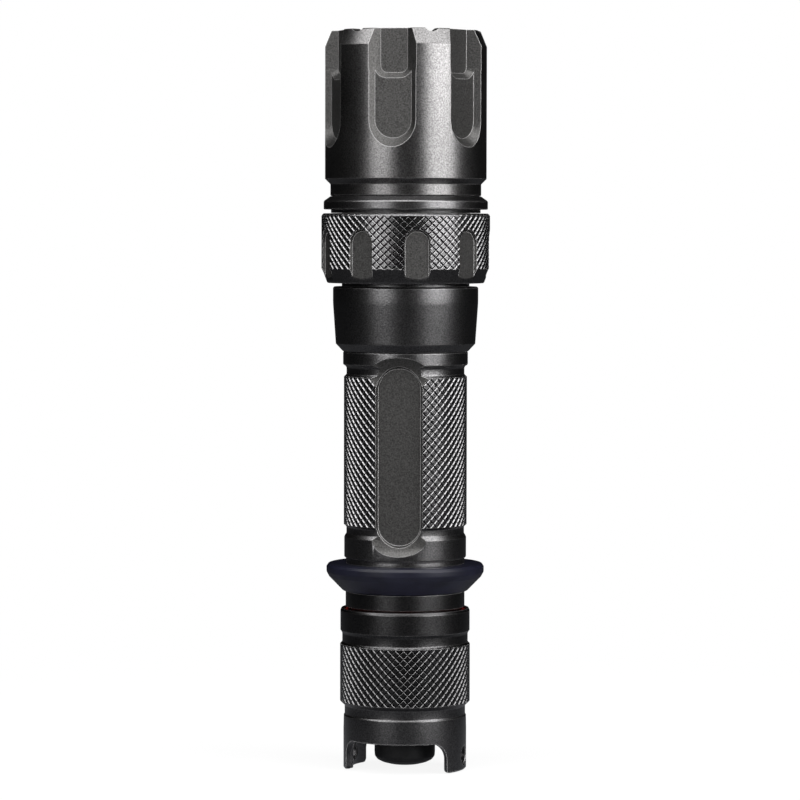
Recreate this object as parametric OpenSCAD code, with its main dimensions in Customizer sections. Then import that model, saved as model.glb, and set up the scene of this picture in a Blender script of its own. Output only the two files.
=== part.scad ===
// Tactical flashlight: strike bezel, magnetic selector ring, knurled battery tube,
// rubber grip ring and tailcap with a rear click switch.
// Origin at the centre of the tail plane, +Z along the beam, flat label panel facing -Y.

/* [Bezel] */
// Outside diameter of the strike bezel
bezel_d = 33.38; // [33.2:0.02:33.8]
// Diameter of the light opening at its narrowest
bezel_mouth_d = 24.2; // [23.6:0.1:24.6]
// Number of milled pockets around the bezel
bezel_slots = 6; // [4:1:7]
// Rotation of the first pocket from the label panel, degrees
slot_turn = -3.5; // [-8:0.5:8]
// Distance from the axis to the floor of the long pockets
slot_floor = 14.9; // [14.7:0.05:15.1]
// Distance from the axis to the floor of the deep pockets
deep_floor = 13.76; // [13.7:0.02:13.9]
// Width of the rounded notches in the rim
rim_notch_w = 2.9; // [2:0.1:3.2]

/* [Selector ring] */
// Outside diameter of the selector ring
ring_d = 34.85; // [34.6:0.05:35.2]
// Number of thumb scallops around the selector ring
scallops = 9; // [6:1:10]
// Width of a thumb scallop at its floor
scallop_w = 4.8; // [4.2:0.05:5.2]
// Distance from the axis to the floor of a scallop
scallop_floor = 16.6; // [16.3:0.05:16.9]
// Rotation of the first scallop from the label panel, degrees
scallop_turn = 14.5; // [0:0.5:40]
// Angle between two click positions
detent_step = 30; // [15:15:30]

/* [Battery tube] */
// Outside diameter over the knurled grip
tube_d = 25.4; // [25.3:0.02:25.6]
// Inside diameter of the battery tube
tube_bore_d = 19.2; // [19:0.05:19.4]
// Distance from the axis to the flat label panel
panel_floor = 10.77; // [10.6:0.05:11.2]
// Half the width of the flat label panel
panel_half_w = 4.37; // [3:0.1:4.6]
// Outside diameter of the rubber grip ring
grip_ring_d = 32.64; // [30:0.1:34]

/* [Tailcap] */
// Outside diameter over the tailcap knurl
cap_d = 26.94; // [26.8:0.02:27.2]
// Height of the two lugs that guard the switch
lug_h = 6.2; // [5.4:0.1:6.2]
// Half the angle of the thumb cutouts between the lugs, degrees
cutout_half = 58; // [48:1:62]
// Diameter of the lanyard holes
lanyard_d = 3.74; // [2.6:0.1:3.9]
// Diameter of the switch boot
boot_d = 12.6; // [12.2:0.05:12.6]

/* [Battery] */
// Diameter of the cell in its sleeve
cell_d = 18.56; // [18.3:0.02:18.6]

/* [Hidden] */
$fn = 96;

dark = [0.17, 0.17, 0.18];
silver = [0.75, 0.76, 0.78];

// Main stations along the axis
z_web = 6.3;
z_cap_thread = 20.3;
z_cap_top = 33.4;
z_tube_rear = 22.4;
z_ring_low = 43.9;
z_grip_lo = 50.8;
z_grip_hi = 81.4;
z_head = 86.65;
z_tube_front = 94.65;
z_shoulder = 100;
z_sel_lo = 100.75;
z_sel_hi = 115.1;
z_collar_lo = 115.2;
z_collar_hi = 118.6;
z_bezel_lo = 118.65;
z_lip = 141.95;
z_top = 152.65;

bezel_r = bezel_d / 2;
ring_r = ring_d / 2;
tube_r = tube_d / 2;
bore_r = tube_bore_d / 2;
cap_r = cap_d / 2;
boot_r = boot_d / 2;
cell_r = cell_d / 2;
rim_notch_depth = 0.7;
notch_r = rim_notch_w * rim_notch_w / 8 / rim_notch_depth + rim_notch_depth / 2;
barrel_r = 13.2;
slide_r = 13.28;
cavity_r = 10.3;
panel_lo = 51.43;
panel_hi = 79;
ramp_r = 6;
thread_gap = 0.07;

// Angle from the label panel (-Y) to the usual mathematical angle
function from_panel(a) = a - 90;

// Annular thread profile: crest, root, crest, repeated at the pitch
function thread_pts(crest, root, z0, count, pitch) = [
  for (i = [0 : count - 1]) each [
    [crest, z0 + i * pitch],
    [crest, z0 + (i + 0.12) * pitch],
    [root, z0 + (i + 0.44) * pitch],
    [root, z0 + (i + 0.56) * pitch],
    [crest, z0 + (i + 0.88) * pitch]
  ]
];

function back(v) = [for (i = [len(v) - 1 : -1 : 0]) v[i]];

module turned(pts) {
  rotate_extrude() polygon(pts);
}

module pipe(r_out, r_in, z0, z1) {
  difference() {
    translate([0, 0, z0]) cylinder(r = r_out, h = z1 - z0);
    translate([0, 0, z0 - 1]) cylinder(r = r_in, h = z1 - z0 + 2);
  }
}

module disc(r, z0, z1) {
  translate([0, 0, z0]) cylinder(r = r, h = z1 - z0);
}

module o_ring(r, section, z) {
  rotate_extrude() translate([r, z]) circle(r = section, $fn = 32);
}

// Round hole or rod pointing out from the axis along +X
module radial(r, x0, x1, z) {
  translate([x0, 0, z]) rotate([0, 90, 0]) cylinder(r = r, h = x1 - x0, $fn = 48);
}

module around(count, turn) {
  for (i = [0 : count - 1]) rotate([0, 0, turn + i * 360 / count]) children();
}

// Pocket whose walls lean out by k for each millimetre of depth: floor plane at x = f,
// floor half width w, full depth from z0 to z1; each end is rounded when its flag is set
module drafted_pocket(f, w, z0, z1, d, k, low_end, high_end) {
  translate([0, 0, z0]) linear_extrude(z1 - z0)
    polygon([[f, -w], [f + d, -w - k * d], [f + d, w + k * d], [f, w]]);
  if (low_end)
    translate([f, 0, z0]) rotate([0, 90, 0]) cylinder(r1 = w, r2 = w + k * d, h = d);
  if (high_end)
    translate([f, 0, z1]) rotate([0, 90, 0]) cylinder(r1 = w, r2 = w + k * d, h = d);
}

// Round-bottomed cut across the axis, as left by a wheel cutter at distance x and height z
module wheel_cut(r, x, z) {
  translate([x, 8, z]) rotate([90, 0, 0]) cylinder(r = r, h = 16);
}

// Pocket open at the top with a flatter lower end and small corner radii
module square_pocket(f, w, c, z0, z1, d) {
  translate([0, 0, z0]) linear_extrude(z1 - z0)
    polygon([[f, -w], [f + d, -w - d], [f + d, w + d], [f, w]]);
  for (s = [-1, 1])
    translate([f, s * (w - c), z0]) rotate([0, 90, 0])
      cylinder(r1 = c, r2 = c + d, h = d, $fn = 48);
  translate([0, c - w, 0]) rotate([-90, 0, 0]) linear_extrude(2 * (w - c))
    polygon([[f, -z0], [f, c - z0], [f + d, c + d - z0], [f + d, -z0]]);
}

// Point on a coil whose radius goes from ra to rb while it climbs from za to zb;
// the end turns are closed down to one wire pitch
function rise(t, turns, dead, step) =
  let (u = t * turns, live = turns - 2 * dead)
  u < dead ? u * step :
  u > turns - dead ? 1 - (turns - u) * step :
  dead * step + (u - dead) / live * (1 - 2 * dead * step);

function coil_points(ra, rb, za, zb, wire, turns, dead, step, n, m) = [
  for (i = [0 : n]) let (
    t = i / n,
    a = 360 * turns * t,
    r = ra + (rb - ra) * t,
    z = za + (zb - za) * rise(t, turns, dead, step)
  ) for (j = [0 : m - 1]) let (b = 360 * j / m) [
    (r + wire * cos(b)) * cos(a),
    (r + wire * cos(b)) * sin(a),
    z + wire * sin(b)
  ]
];

module coil(ra, rb, za, zb, wire, turns, dead = 0.75, n = 96, m = 8) {
  step = 2.15 * wire / abs(zb - za);
  pts = coil_points(ra, rb, za, zb, wire, turns, dead, step, n, m);
  sides = [
    for (i = [0 : n - 1]) for (j = [0 : m - 1]) let (k = (j + 1) % m) each [
      [i * m + j, i * m + k, (i + 1) * m + k],
      [i * m + j, (i + 1) * m + k, (i + 1) * m + j]
    ]
  ];
  ends = [
    [for (j = [m - 1 : -1 : 0]) j],
    [for (j = [0 : m - 1]) n * m + j]
  ];
  polyhedron(points = pts, faces = concat(sides, ends), convexity = 8);
}

// ---------- head ----------

module strike_bezel() {
  color(dark) difference() {
    turned(concat(
      [
        [bezel_mouth_d / 2, z_lip],
        [slide_r, z_lip]
      ],
      [[slide_r, z_lip - 4]],
      [[slide_r, 126.4]],
      back(thread_pts(slide_r, slide_r + 0.42, 121.2, 5, 1)),
      [
        [slide_r, z_bezel_lo],
        [15.45, z_bezel_lo],
        [15.58, z_bezel_lo + 0.12],
        [15.58, 121.1],
        [bezel_r - 0.06, 122.2],
        [bezel_r, 122.35],
        [bezel_r, 149.3],
        [bezel_r - 0.12, 149.7],
        [15.45, 152.5],
        [15.2, z_top],
        [13.05, z_top],
        [12.9, z_top - 0.15],
        [bezel_mouth_d / 2 + 0.1, z_lip + 1.6],
        [bezel_mouth_d / 2, z_lip + 1.4]
      ]
    ));
    around(bezel_slots, from_panel(slot_turn)) {
      drafted_pocket(slot_floor, 3.75, 134.1, z_top + 2, 3.2, 1, true, false);
      square_pocket(deep_floor, 2.78, 1.4, 145.05, z_top + 2, 4.4);
    }
    around(bezel_slots, from_panel(slot_turn + 180 / bezel_slots))
      radial(notch_r, 8, 20, z_top - rim_notch_depth + notch_r);
  }
}

module front_lens() {
  color([0.8, 0.9, 0.95, 0.4]) turned([
    [0, 138.68], [12.85, 138.68], [13.1, 138.93],
    [13.1, 140.62], [12.85, 140.87], [0, 140.87]
  ]);
}

module lens_o_ring() {
  color("black") o_ring(12.65, 0.5, 141.4);
}

reflector_f = 1.45;
reflector_apex = 111.55;
function mirror_z(r) = reflector_apex + r * r / (4 * reflector_f);

module reflector() {
  inner = [for (i = [0 : 15]) let (r = 3.2 + (12.5 - 3.2) * i / 15) [r, mirror_z(r)]];
  outer = [
    for (i = [15 : -1 : 0]) let (r = 3.2 + (12.5 - 3.2) * i / 15)
      [r + 0.75, mirror_z(r) - 0.35]
  ];
  color(silver) turned(concat(
    inner,
    [[12.5, 138.6], [slide_r - 0.08, 138.6], [slide_r - 0.08, 137.7], [13.1, 137.6]],
    [for (p = outer) if (p[1] < 137.4 && p[1] > 113.35) p],
    [[3.95, 113.3], [3.2, 113.3]]
  ));
}

module led_centering_gasket() {
  color("white") difference() {
    disc(5.4, 112.25, 113.2);
    translate([-2.55, -2.55, 111]) cube([5.1, 5.1, 4]);
  }
}

module led_emitter() {
  color([0.95, 0.85, 0.4]) union() {
    translate([-2.5, -2.5, 112.22]) cube([5, 5, 0.8]);
    intersection() {
      translate([0, 0, 112.9]) sphere(r = 2.15);
      translate([-3, -3, 112.9]) cube([6, 6, 3]);
    }
  }
}

module led_board() {
  color([0.8, 0.5, 0.3]) difference() {
    disc(8, 110.65, 112.2);
    for (s = [-1, 1]) translate([s * 7, 0, 110]) cylinder(r = 0.95, h = 3, $fn = 32);
    for (s = [-1, 1]) translate([0, s * 8, 110]) cylinder(r = 1.3, h = 3, $fn = 32);
  }
}

module led_pill() {
  color(silver) difference() {
    turned([
      [0, 104], [10.2, 104], [10.2, 94.72], [11.4, 94.72], [11.42, 94.9],
      [11.42, 110.3], [11.2, 110.6], [0, 110.6]
    ]);
    for (s = [-1, 1]) translate([s * 7, 0, 103]) cylinder(r = 0.95, h = 9, $fn = 32);
    rotate([0, 0, 90]) radial(0.95, 8.1, 12, 107.3);
  }
}

module led_leads() {
  color("red") for (s = [-1, 1]) union() {
    translate([s * 7, 0, 99.15]) cylinder(r = 0.5, h = 13.65, $fn = 32);
    translate([s * 7, 0, 112.8]) sphere(r = 0.5, $fn = 32);
    translate([s * 7, 0, 112.8]) rotate([0, -s * 90, 0]) cylinder(r = 0.5, h = 1.1, $fn = 32);
  }
}

module driver_board() {
  color([0.1, 0.4, 0.2]) disc(10.1, 97.5, 99.1);
}

module driver_components() {
  color([0.12, 0.12, 0.12]) {
    translate([-2.6, -1.2, 99.12]) cube([5.2, 5.2, 2.9]);
    translate([-2.4, -6.4, 99.12]) cube([4.9, 3.9, 1.5]);
    translate([3.6, 3.2, 99.12]) cube([1.6, 0.8, 0.8]);
    translate([3.6, 4.6, 99.12]) cube([1.6, 0.8, 0.8]);
    translate([-5.4, 3.4, 99.12]) cube([1.2, 2, 1]);
    translate([-4.9, -5.2, 99.12]) cube([1.2, 2, 1]);
    translate([3.9, -5.6, 99.12]) cylinder(r = 1.2, h = 2.4, $fn = 32);
    translate([-2, 7.6, 99.12]) cube([4, 1.4, 3]);
  }
}

module driver_retaining_ring() {
  color([0.85, 0.7, 0.35]) difference() {
    pipe(10.15, 8.4, 95.6, 97.45);
    for (s = [-1, 1]) translate([s * 9.3 - 1.5, -0.6, 95]) cube([3, 1.2, 1.6]);
  }
}

module driver_contact_spring() {
  color([0.85, 0.7, 0.35]) coil(2.3, 4.6, 90.07, 97.02, 0.4, 5);
}

module bezel_o_ring() {
  color("black") o_ring(12.8, 0.44, 119.75);
}

module retaining_collar() {
  color(dark) turned(concat(
    back(thread_pts(barrel_r + thread_gap, barrel_r + 0.45, 115.5, 2, 1)),
    [
      [barrel_r + thread_gap, z_collar_lo],
      [15.46, z_collar_lo],
      [15.46, 115.9],
      [16.85, 115.9],
      [16.97, 116.02],
      [16.97, 117.55],
      [16.85, 117.72],
      [15.6, z_collar_hi],
      [barrel_r + thread_gap, z_collar_hi]
    ]
  ));
}

module thrust_washer() {
  color("white") pipe(15.2, 13.34, 114.62, 115.14);
}

// Thumb scallop: flat floor, round top and walls that lean out, open at the low end
module scallop() {
  w = scallop_w / 2;
  lean = 0.5;
  d = 2.4;
  translate([scallop_floor, 0, 109]) rotate([0, 90, 0]) cylinder(r1 = w, r2 = w + lean * d, h = d);
  translate([scallop_floor, 0, z_sel_lo - 2]) linear_extrude(111 - z_sel_lo)
    polygon([[0, -w], [d, -w - lean * d], [d, w + lean * d], [0, w]]);
}

module selector_ring() {
  color(dark) difference() {
    turned([
      [slide_r, 101.8],
      [14.4, 101.8],
      [14.4, z_sel_lo],
      [16.15, z_sel_lo],
      [16.3, z_sel_lo + 0.25],
      [17.2, 103.2],
      [ring_r, 104],
      [ring_r, 114.55],
      [ring_r - 0.15, 114.9],
      [ring_r - 0.5, z_sel_hi],
      [15.32, z_sel_hi],
      [15.32, 114.58],
      [slide_r, 114.58],
      [slide_r, 108.3],
      [13.5, 108.1],
      [13.5, 106.5],
      [slide_r, 106.3]
    ]);
    around(scallops, from_panel(scallop_turn)) scallop();
    around(360 / detent_step, 0) translate([12.92, 0, 107.3]) sphere(r = 0.85, $fn = 32);
    rotate([0, 0, -45]) radial(2.04, 12, 15.95, 110.9);
  }
}

module selector_magnet() {
  color(silver) rotate([0, 0, -45]) radial(2, 13.85, 15.9, 110.9);
}

module ring_seals() {
  color("black") {
    o_ring(12.8, 0.44, 103.4);
    o_ring(12.8, 0.44, 113.3);
  }
}

module snap_ring() {
  color([0.3, 0.3, 0.32]) difference() {
    pipe(14.25, 12.45, 100.85, 101.65);
    rotate([0, 0, 90]) translate([11, -1.2, 100]) cube([5, 2.4, 3]);
  }
}

module detent_ball() {
  color(silver) rotate([0, 0, 90]) translate([12.68, 0, 107.3]) sphere(r = 0.8, $fn = 48);
}

module detent_spring() {
  color(silver) rotate([0, 0, 90]) translate([8.2, 0, 107.3]) rotate([0, 90, 0])
    coil(0.62, 0.62, 0.12, 3.52, 0.11, 6, 0.75, 72, 6);
}

module head_housing() {
  groove = 12.34;
  color(dark) difference() {
    turned(concat(
      [
        [12, z_head],
        [13, z_head],
        [13.15, z_head + 0.1],
        [14.44, 88.2],
        [15, 96.3],
        [15.03, 97],
        [15.03, 99.75],
        [14.8, z_shoulder],
        [barrel_r, z_shoulder],
        [barrel_r, 100.82], [12.4, 100.82], [12.4, 101.7], [barrel_r, 101.7],
        [barrel_r, 102.9], [groove, 102.9], [groove, 103.9], [barrel_r, 103.9],
        [barrel_r, 112.8], [groove, 112.8], [groove, 113.8], [barrel_r, 113.8]
      ],
      thread_pts(barrel_r, barrel_r - 0.4, 115.5, 3, 1),
      [[barrel_r, 119.25], [groove, 119.25], [groove, 120.25], [barrel_r, 120.25]],
      thread_pts(barrel_r, barrel_r - 0.4, 121.2, 4, 1),
      [
        [barrel_r, 125.7],
        [12.95, 126],
        [11.7, 126],
        [11.5, 125.8],
        [11.5, z_tube_front + 0.05]
      ],
      back(thread_pts(11.57, 11.98, 89, 5, 1)),
      [[11.57, 88.7], [12, 88.45]]
    ));
    rotate([0, 0, 90]) radial(0.88, 10, 14, 107.3);
  }
}

module head_o_ring() {
  color("black") o_ring(11.5, 0.46, 87.6);
}

// ---------- tube and battery ----------

module battery_tube() {
  color(dark) difference() {
    turned(concat(
      [
        [bore_r + 0.2, z_tube_rear],
        [10.9, z_tube_rear],
        [11.1, z_tube_rear + 0.2]
      ],
      [[11.1, 23.3]],
      thread_pts(11.55, 11.1, 23.6, 7, 1),
      [
        [11.55, 31.2], [11.9, 31.5], [11.9, 32.3], [11.5, 32.35], [11.5, 33.65],
        [12.34, 33.7], [12.34, 36.9], [11.4, 36.92], [11.4, 42.72],
        [12.38, 42.74], [12.3, 43.3], [12.3, z_ring_low], [12.5, z_ring_low + 0.05],
        [12.64, z_ring_low + 0.2],
        [12.64, 48.2], [12.4, 48.6], [12.19, 49], [12.19, 50.3],
        [tube_r - 0.12, z_grip_lo - 0.15], [tube_r, z_grip_lo + 0.1],
        [tube_r, z_grip_hi - 0.1], [tube_r - 0.12, z_grip_hi + 0.15],
        [12.2, 82], [12.2, 83.3], [12.4, 83.6], [12.8, 83.85],
        [12.92, 84.05], [12.92, 86.45], [12.82, 86.57],
        [11.9, 86.6], [11.9, 87.05], [11, 87.08], [11, 88.12], [11.9, 88.15],
        [11.9, 88.35], [11.5, 88.65]
      ],
      thread_pts(11.5, 11.05, 89, 4, 1),
      [
        [11.05, 93.3], [11.05, z_tube_front - 0.2], [10.85, z_tube_front],
        [bore_r + 0.2, z_tube_front], [bore_r, z_tube_front - 0.2],
        [bore_r, z_tube_rear + 0.2]
      ]
    ));
    rotate([0, 0, -90]) {
      drafted_pocket(panel_floor, panel_half_w, panel_lo, panel_hi, 3, 0.45, true, true);
      wheel_cut(ramp_r, panel_floor + 0.56 + ramp_r, panel_lo - 2.8);
      wheel_cut(ramp_r, panel_floor + 0.56 + ramp_r, panel_hi + 2.6);
    }
  }
}

module cell_can() {
  color(silver) turned([
    [0, 22.62], [8.6, 22.62], [9.1, 23.1], [9.1, 84.9], [8.75, 85.4], [8.75, 86],
    [9.1, 86.5], [9.1, 87.5], [8.8, 87.9], [0, 87.9]
  ]);
}

module cell_sleeve() {
  color([0.2, 0.35, 0.6]) pipe(cell_r, 9.14, 23.2, 87.6);
}

module cell_top_insulator() {
  color("white") pipe(8.5, 3.4, 87.92, 88.3);
}

module cell_button() {
  color(silver) turned([
    [0, 87.92], [3.3, 87.92], [3.3, 88.2], [2.9, 88.3], [2.7, 89.3], [2.4, 89.6], [0, 89.6]
  ]);
}

module combat_ring() {
  g = grip_ring_d / 2;
  color([0.1, 0.1, 0.16]) turned([
    [11.43, 36.97], [12.55, 36.97], [13, 37.12], [g - 0.62, 39.85], [g - 0.18, 40.45],
    [g, 41], [g, 42], [g - 0.1, 42.32], [g - 0.36, 42.58], [g - 0.7, 42.67],
    [11.43, 42.67]
  ]);
}

module tail_o_ring() {
  color([0.75, 0.08, 0.05]) o_ring(12.08, 0.56, 33);
}

// ---------- tailcap and switch ----------

module thumb_cutout() {
  corner = 3.4;
  reach = cutout_half - asin(corner / 12.75);
  zc = lug_h - corner;
  rotate([0, 0, -reach]) rotate_extrude(angle = 2 * reach)
    translate([8, -1]) square([7, lug_h + 1]);
  for (s = [-1, 1]) rotate([0, 0, s * reach]) {
    radial(corner, 8, 15, zc);
    translate([8, -corner, -1]) cube([7, 2 * corner, zc + 1]);
  }
}

module tailcap_housing() {
  color(dark) difference() {
    turned(concat(
      [
        [boot_r + 0.15, z_web],
        [10.9, z_web], [10.9, 0.25], [11.15, 0], [12.5, 0], [12.75, 0.25],
        [12.75, 11.1], [12.52, 11.4], [12.52, 13.15], [13.3, 13.87], [cap_r, 14.1],
        [cap_r, 25.9], [13.3, 26.1], [13.03, 26.4], [13.03, 28.2], [13.2, 28.5],
        [13.42, 28.8], [13.42, 33.1], [13.3, 33.32], [13.12, z_cap_top],
        [12.85, z_cap_top], [12.68, 33.15], [12.68, 31.55]
      ],
      back(thread_pts(11.62, 12.03, 21.6, 9, 1)),
      [[11.62, z_cap_thread], [cavity_r, z_cap_thread], [cavity_r, 8.3], [boot_r + 0.15, 8.3]]
    ));
    for (a = [-8.5, 171.5]) rotate([0, 0, from_panel(a)]) thumb_cutout();
    for (a = [81.5, -98.5]) rotate([0, 0, from_panel(a)])
      radial(lanyard_d / 2, 8, 15, 3);
  }
}

module boot_rim() {
  color([0.05, 0.05, 0.05]) pipe(9.9, 6.62, 8.34, 9.5);
}

module boot_cap() {
  color([0.05, 0.05, 0.05]) turned([
    [0, 0.7], [2.6, 0.82], [4.6, 1.2], [5.6, 1.6], [boot_r - 0.15, 2],
    [boot_r, 2.4], [boot_r, 9.3], [5.2, 9.3], [5.2, 3.16], [0, 3.16]
  ]);
}

module boot_clamp_ring() {
  color(silver) difference() {
    pipe(10.2, 6.8, 9.55, 11.3);
    for (s = [-1, 1]) translate([s * 8.5 - 3, -0.7, 10.4]) cube([6, 1.4, 2]);
  }
}

module switch_body() {
  color([0.15, 0.15, 0.17]) difference() {
    union() {
      translate([-6.5, -6.5, 11.4]) cube([13, 13, 5]);
    }
    translate([0, 0, 10]) cylinder(r = 2.5, h = 5.5);
    for (a = [0 : 90 : 270]) rotate([0, 0, a + 45]) translate([8.3, -2, 10]) cube([3, 4, 8]);
  }
}

module switch_plunger() {
  color([0.7, 0.1, 0.1]) turned([
    [0, 3.2], [2.2, 3.2], [2.4, 3.4], [2.4, 12.8], [2.2, 13], [0, 13]
  ]);
}

module switch_spring() {
  color(silver) coil(1.7, 1.7, 13.24, 15.26, 0.2, 3.5, 0.5, 64, 8);
}

module switch_board() {
  color([0.1, 0.4, 0.2]) difference() {
    disc(10.2, 16.45, 17.85);
    for (s = [-1, 1]) translate([s * 5.4, 0, 16]) cylinder(r = 0.5, h = 3, $fn = 32);
  }
}

module tail_spring() {
  color([0.85, 0.7, 0.35]) coil(5.2, 3, 18.32, 22.15, 0.42, 4);
}

module switch_retaining_ring() {
  color([0.85, 0.7, 0.35]) difference() {
    turned([
      [7.4, 17.9], [10.2, 17.9], [10.2, 20.36], [11.2, 20.36], [11.2, 22.1],
      [11, 22.34], [7.4, 22.34]
    ]);
    for (s = [-1, 1]) translate([s * 9 - 3, -0.9, 21]) cube([6, 1.8, 3]);
  }
}

strike_bezel();
front_lens();
lens_o_ring();
reflector();
led_centering_gasket();
led_emitter();
led_board();
led_pill();
led_leads();
driver_board();
driver_components();
driver_retaining_ring();
driver_contact_spring();
bezel_o_ring();
retaining_collar();
thrust_washer();
selector_ring();
selector_magnet();
ring_seals();
snap_ring();
detent_ball();
detent_spring();
head_housing();
head_o_ring();
battery_tube();
cell_can();
cell_sleeve();
cell_top_insulator();
cell_button();
combat_ring();
tail_o_ring();
tailcap_housing();
boot_rim();
boot_cap();
boot_clamp_ring();
switch_body();
switch_plunger();
switch_spring();
switch_board();
tail_spring();
switch_retaining_ring();
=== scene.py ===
import math

import bmesh
import bpy
import numpy as np
from mathutils import Matrix, Vector


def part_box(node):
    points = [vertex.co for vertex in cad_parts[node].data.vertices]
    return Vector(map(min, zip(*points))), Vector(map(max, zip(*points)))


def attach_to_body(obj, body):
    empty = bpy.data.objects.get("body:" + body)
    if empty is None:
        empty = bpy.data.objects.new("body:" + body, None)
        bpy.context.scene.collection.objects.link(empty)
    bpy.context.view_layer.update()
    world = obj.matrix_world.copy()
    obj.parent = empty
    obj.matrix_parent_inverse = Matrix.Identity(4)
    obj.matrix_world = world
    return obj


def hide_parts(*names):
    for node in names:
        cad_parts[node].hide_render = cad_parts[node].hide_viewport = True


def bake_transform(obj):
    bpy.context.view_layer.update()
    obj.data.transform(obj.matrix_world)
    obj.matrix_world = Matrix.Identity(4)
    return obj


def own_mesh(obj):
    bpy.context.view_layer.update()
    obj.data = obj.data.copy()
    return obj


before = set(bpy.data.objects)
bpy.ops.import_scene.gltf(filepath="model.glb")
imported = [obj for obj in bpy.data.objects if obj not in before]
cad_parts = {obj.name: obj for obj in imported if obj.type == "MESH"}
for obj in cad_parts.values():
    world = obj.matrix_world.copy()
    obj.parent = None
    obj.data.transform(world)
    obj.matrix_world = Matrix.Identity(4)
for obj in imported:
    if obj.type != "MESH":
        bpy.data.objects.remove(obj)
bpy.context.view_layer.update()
MM = 0.001


# ---------------------------------------------------------------- frame stations
def low(node):
    """Lowest z of a CAD node, in millimetres."""
    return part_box(node)[0].z / MM


def high(node):
    """Highest z of a CAD node, in millimetres."""
    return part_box(node)[1].z / MM


def radius(node):
    """Largest radius of a round CAD node, in millimetres."""
    lo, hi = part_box(node)
    return max(hi.x, -lo.x, hi.y, -lo.y) / MM


Z_TOP = high("strike_bezel")
Z_BEZEL = low("strike_bezel")
Z_COLLAR = low("retaining_collar")
Z_RING_LO = low("selector_ring")
Z_RING_HI = high("selector_ring")
Z_HEAD = low("head_housing")
Z_BARREL = high("head_housing")
Z_TUBE_LO = low("battery_tube")
Z_TUBE_HI = high("battery_tube")
Z_CAP = high("tailcap_housing")
Z_GRIP_RING = low("combat_ring")
BARREL = 13.2  # outside radius of the head barrel
SLIDE = 13.28  # bore radius of the parts that slide over the barrel


# ---------------------------------------------------------------- mesh helpers
def add_mesh(name, verts, faces):
    """New object in the scene from verts in metres."""
    mesh = bpy.data.meshes.new(name)
    mesh.from_pydata([tuple(v) for v in verts], [], faces)
    mesh.update()
    obj = bpy.data.objects.new(name, mesh)
    bpy.context.scene.collection.objects.link(obj)
    return obj


def clean(obj, weld=1e-7):
    """Welds doubled points and turns every face outwards."""
    bm = bmesh.new()
    bm.from_mesh(obj.data)
    bmesh.ops.remove_doubles(bm, verts=bm.verts, dist=weld)
    bmesh.ops.recalc_face_normals(bm, faces=bm.faces)
    bm.to_mesh(obj.data)
    bm.free()
    obj.data.update()
    return obj


def smooth(obj, angle=28):
    """Smooth shading everywhere except across edges sharper than angle."""
    mesh = obj.data
    mesh.polygons.foreach_set("use_smooth", [True] * len(mesh.polygons))
    mesh.set_sharp_from_angle(angle=math.radians(angle))
    mesh.update()
    return obj


def fillet(points, default=0.1, steps=3):
    """Rounds the corners of a closed (r, z[, corner radius]) profile in millimetres."""
    out, n = [], len(points)
    for i in range(n):
        p0, p, p1 = (np.array(points[k % n][:2], float) for k in (i - 1, i, i + 1))
        want = points[i][2] if len(points[i]) > 2 else default
        a, b = p0 - p, p1 - p
        la, lb = np.linalg.norm(a), np.linalg.norm(b)
        if la < 1e-9 or lb < 1e-9:
            continue
        a, b = a / la, b / lb
        inner = math.acos(max(-1.0, min(1.0, float(a @ b))))
        if want <= 0 or p[0] < 1e-6 or math.pi - inner < math.radians(8):
            out.append(tuple(p))
            continue
        cut = min(want / math.tan(inner / 2), 0.42 * la, 0.42 * lb)
        r = cut * math.tan(inner / 2)
        middle = p + (a + b) / np.linalg.norm(a + b) * (r / math.sin(inner / 2))
        s, e = p + a * cut - middle, p + b * cut - middle
        t0, t1 = math.atan2(s[1], s[0]), math.atan2(e[1], e[0])
        sweep = (t1 - t0 + math.pi) % (2 * math.pi) - math.pi
        for k in range(steps + 1):
            t = t0 + sweep * k / steps
            out.append((middle[0] + r * math.cos(t), middle[1] + r * math.sin(t)))
    return out


def knurl_rows(r, z0, z1, rows, cells=6):
    """Profile points of a knurled band; the third value marks the band's row number."""
    count = rows * cells
    return [(r, z0 + (z1 - z0) * k / count, k) for k in range(count + 1)]


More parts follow.
